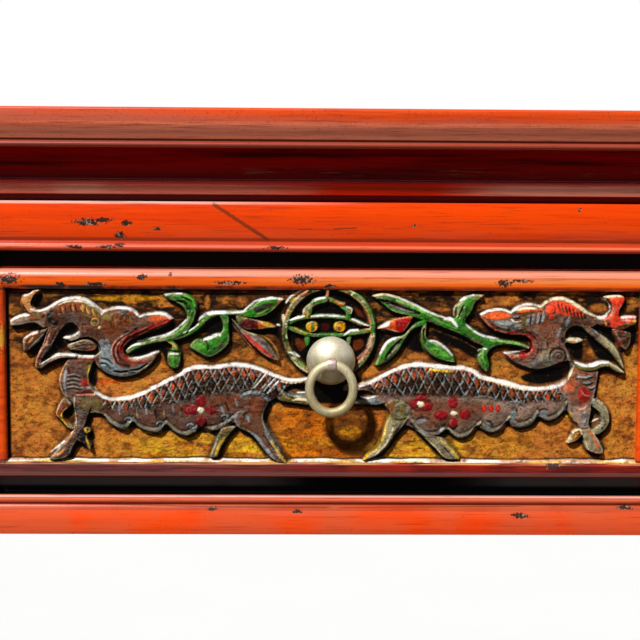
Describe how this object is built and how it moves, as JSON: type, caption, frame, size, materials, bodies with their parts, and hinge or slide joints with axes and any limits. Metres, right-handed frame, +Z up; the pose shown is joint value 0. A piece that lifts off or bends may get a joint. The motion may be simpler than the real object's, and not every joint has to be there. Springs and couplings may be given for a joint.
{
  "type": "altar table",
  "caption": "Red lacquered altar table with a recessed waist, hoof feet and a row of relief-carved drawers that slide out on runners, each with a hanging ring pull.",
  "frame": {"origin": "on the floor, under the middle of the table", "axes": "+X to the viewer's right along the table's length, +Y from the carved front to the back, +Z up"},
  "size_m": [1.579, 0.532, 0.86],
  "materials": {
    "red_lacquer": "worn orange-red lacquer",
    "dark_red_lacquer": "dark red lacquer",
    "carved_polychrome": "carved, painted and worn",
    "bare_wood": "bare, aged",
    "pale_brass": "brushed, worn",
    "strap_copper": "dull, pinkish"
  },
  "bodies": {
    "table": {"top_frame_front": "red_lacquer", "top_frame_back": "red_lacquer", "top_frame_left": "red_lacquer", "top_frame_right": "red_lacquer", "top_panel": "red_lacquer", "top_batten_left": "bare_wood", "top_batten_right": "bare_wood", "waist_front": "dark_red_lacquer", "waist_back": "dark_red_lacquer", "waist_left": "dark_red_lacquer", "waist_right": "dark_red_lacquer", "front_left_leg": "red_lacquer", "front_right_leg": "red_lacquer", "back_left_leg": "red_lacquer", "back_right_leg": "red_lacquer", "front_top_rail": "red_lacquer", "front_bottom_rail": "red_lacquer", "back_top_rail": "red_lacquer", "back_bottom_rail": "red_lacquer", "left_top_rail": "red_lacquer", "left_bottom_rail": "red_lacquer", "right_top_rail": "red_lacquer", "right_bottom_rail": "red_lacquer", "back_panel": "red_lacquer", "left_panel": "red_lacquer", "right_panel": "red_lacquer", "front_post_left": "red_lacquer", "front_post_right": "red_lacquer", "end_runner_left": "bare_wood", "end_runner_right": "bare_wood", "middle_runner_left": "bare_wood", "middle_runner_right": "bare_wood", "front_spandrel_left": "red_lacquer", "front_spandrel_right": "red_lacquer"},
    "left_drawer": {"left_drawer_front": "carved_polychrome", "left_drawer_left_side": "bare_wood", "left_drawer_right_side": "bare_wood", "left_drawer_back": "bare_wood", "left_drawer_bottom": "bare_wood", "left_drawer_pull_boss": "pale_brass", "left_drawer_pull_strap": "strap_copper"},
    "middle_drawer": {"middle_drawer_front": "carved_polychrome", "middle_drawer_left_side": "bare_wood", "middle_drawer_right_side": "bare_wood", "middle_drawer_back": "bare_wood", "middle_drawer_bottom": "bare_wood", "middle_drawer_pull_boss": "pale_brass", "middle_drawer_pull_strap": "strap_copper"},
    "right_drawer": {"right_drawer_front": "carved_polychrome", "right_drawer_left_side": "bare_wood", "right_drawer_right_side": "bare_wood", "right_drawer_back": "bare_wood", "right_drawer_bottom": "bare_wood", "right_drawer_pull_boss": "pale_brass", "right_drawer_pull_strap": "strap_copper"},
    "left_ring": {"left_drawer_pull_ring": "pale_brass"},
    "middle_ring": {"middle_drawer_pull_ring": "pale_brass"},
    "right_ring": {"right_drawer_pull_ring": "pale_brass"}
  },
  "joints": [
    {"name": "left_drawer_slide", "type": "slide", "parent": "table", "child": "left_drawer", "axis": [0, -1, 0], "range_m": [0, 0.3]},
    {"name": "middle_drawer_slide", "type": "slide", "parent": "table", "child": "middle_drawer", "axis": [0, -1, 0], "range_m": [0, 0.3]},
    {"name": "right_drawer_slide", "type": "slide", "parent": "table", "child": "right_drawer", "axis": [0, -1, 0], "range_m": [0, 0.3]},
    {"name": "left_ring_swing", "type": "hinge", "parent": "left_drawer", "child": "left_ring", "pos_m": [-0.48, -0.2518, 0.6908], "axis": [-1, 0, 0], "range_deg": [-20, 95]},
    {"name": "middle_ring_swing", "type": "hinge", "parent": "middle_drawer", "child": "middle_ring", "pos_m": [0.005, -0.2518, 0.6908], "axis": [-1, 0, 0], "range_deg": [-20, 95]},
    {"name": "right_ring_swing", "type": "hinge", "parent": "right_drawer", "child": "right_ring", "pos_m": [0.49, -0.2518, 0.6908], "axis": [-1, 0, 0], "range_deg": [-20, 95]}
  ]
}
